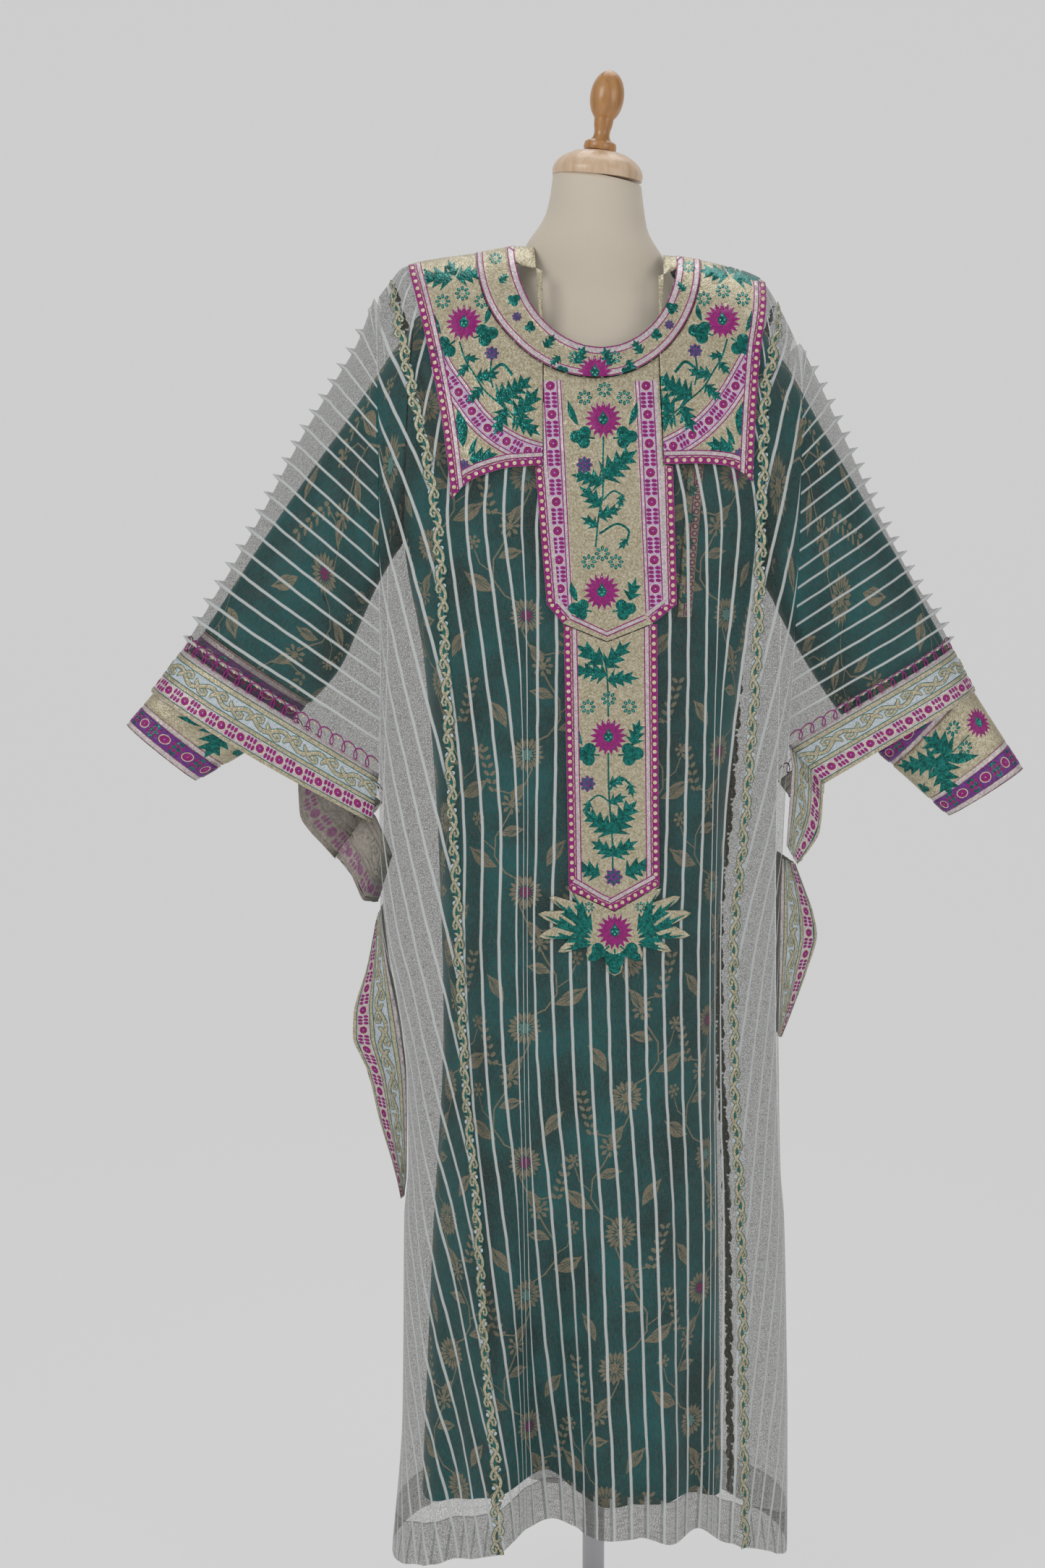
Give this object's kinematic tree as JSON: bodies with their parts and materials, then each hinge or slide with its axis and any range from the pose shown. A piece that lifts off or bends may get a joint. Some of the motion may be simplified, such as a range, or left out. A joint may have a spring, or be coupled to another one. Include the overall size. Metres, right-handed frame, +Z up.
{
  "type": "kandura on dress form",
  "caption": "Ankle-length brocade kandura with long sleeves under a sheer striped overdress with wide sleeves, worn on a limbless dress form on a round foot.",
  "frame": {"origin": "on the floor under the middle of the stand's pole", "axes": "+Z up along the pole, -Y towards the viewer and the front of the garment, +X to the viewer's right"},
  "size_m": [1.047, 0.3474, 1.8556],
  "materials": {
    "jersey": "matt stretch jersey over padding",
    "beech": "clear satin varnish",
    "steel": "satin",
    "brocade": "silk brocade with a soft sheen",
    "cuff_embroidery": "metallic thread embroidery with beads",
    "tulle": "sheer tulle with satin corded stripes",
    "gold_embroidery": "metallic thread embroidery with beads and sequins",
    "border_embroidery": "metallic thread embroidery on tulle",
    "scroll_trim": "metallic thread embroidery on tulle"
  },
  "bodies": {
    "root": {"finial": "beech", "form_body": "jersey", "kandura_back": "brocade", "kandura_cuff_left": "cuff_embroidery", "kandura_cuff_right": "cuff_embroidery", "kandura_front": "brocade", "kandura_plastron_edge": "cuff_embroidery", "kandura_sleeve_left": "brocade", "kandura_sleeve_right": "brocade", "neck_band_back": "gold_embroidery", "neck_band_front": "gold_embroidery", "neck_cap": "beech", "overdress_back": "tulle", "overdress_front": "tulle", "overdress_side_back_left": "tulle", "overdress_side_back_right": "tulle", "overdress_side_front_left": "tulle", "overdress_side_front_right": "tulle", "overdress_sleeve_back_left": "tulle", "overdress_sleeve_back_right": "tulle", "overdress_sleeve_front_left": "tulle", "overdress_sleeve_front_right": "tulle", "palmette": "gold_embroidery", "plastron_lower": "gold_embroidery", "plastron_upper": "gold_embroidery", "scroll_trim_back_left": "scroll_trim", "scroll_trim_back_right": "scroll_trim", "scroll_trim_front_left": "scroll_trim", "scroll_trim_front_right": "scroll_trim", "side_border_back_left": "border_embroidery", "side_border_back_right": "border_embroidery", "side_border_front_left": "border_embroidery", "side_border_front_right": "border_embroidery", "sleeve_border_back_left": "border_embroidery", "sleeve_border_back_right": "border_embroidery", "sleeve_border_front_left": "border_embroidery", "sleeve_border_front_right": "border_embroidery", "sleeve_cascade_left": "border_embroidery", "sleeve_cascade_right": "border_embroidery", "stand_base": "steel", "stand_pole": "steel", "yoke_left": "gold_embroidery", "yoke_right": "gold_embroidery"}
  },
  "joints": []
}
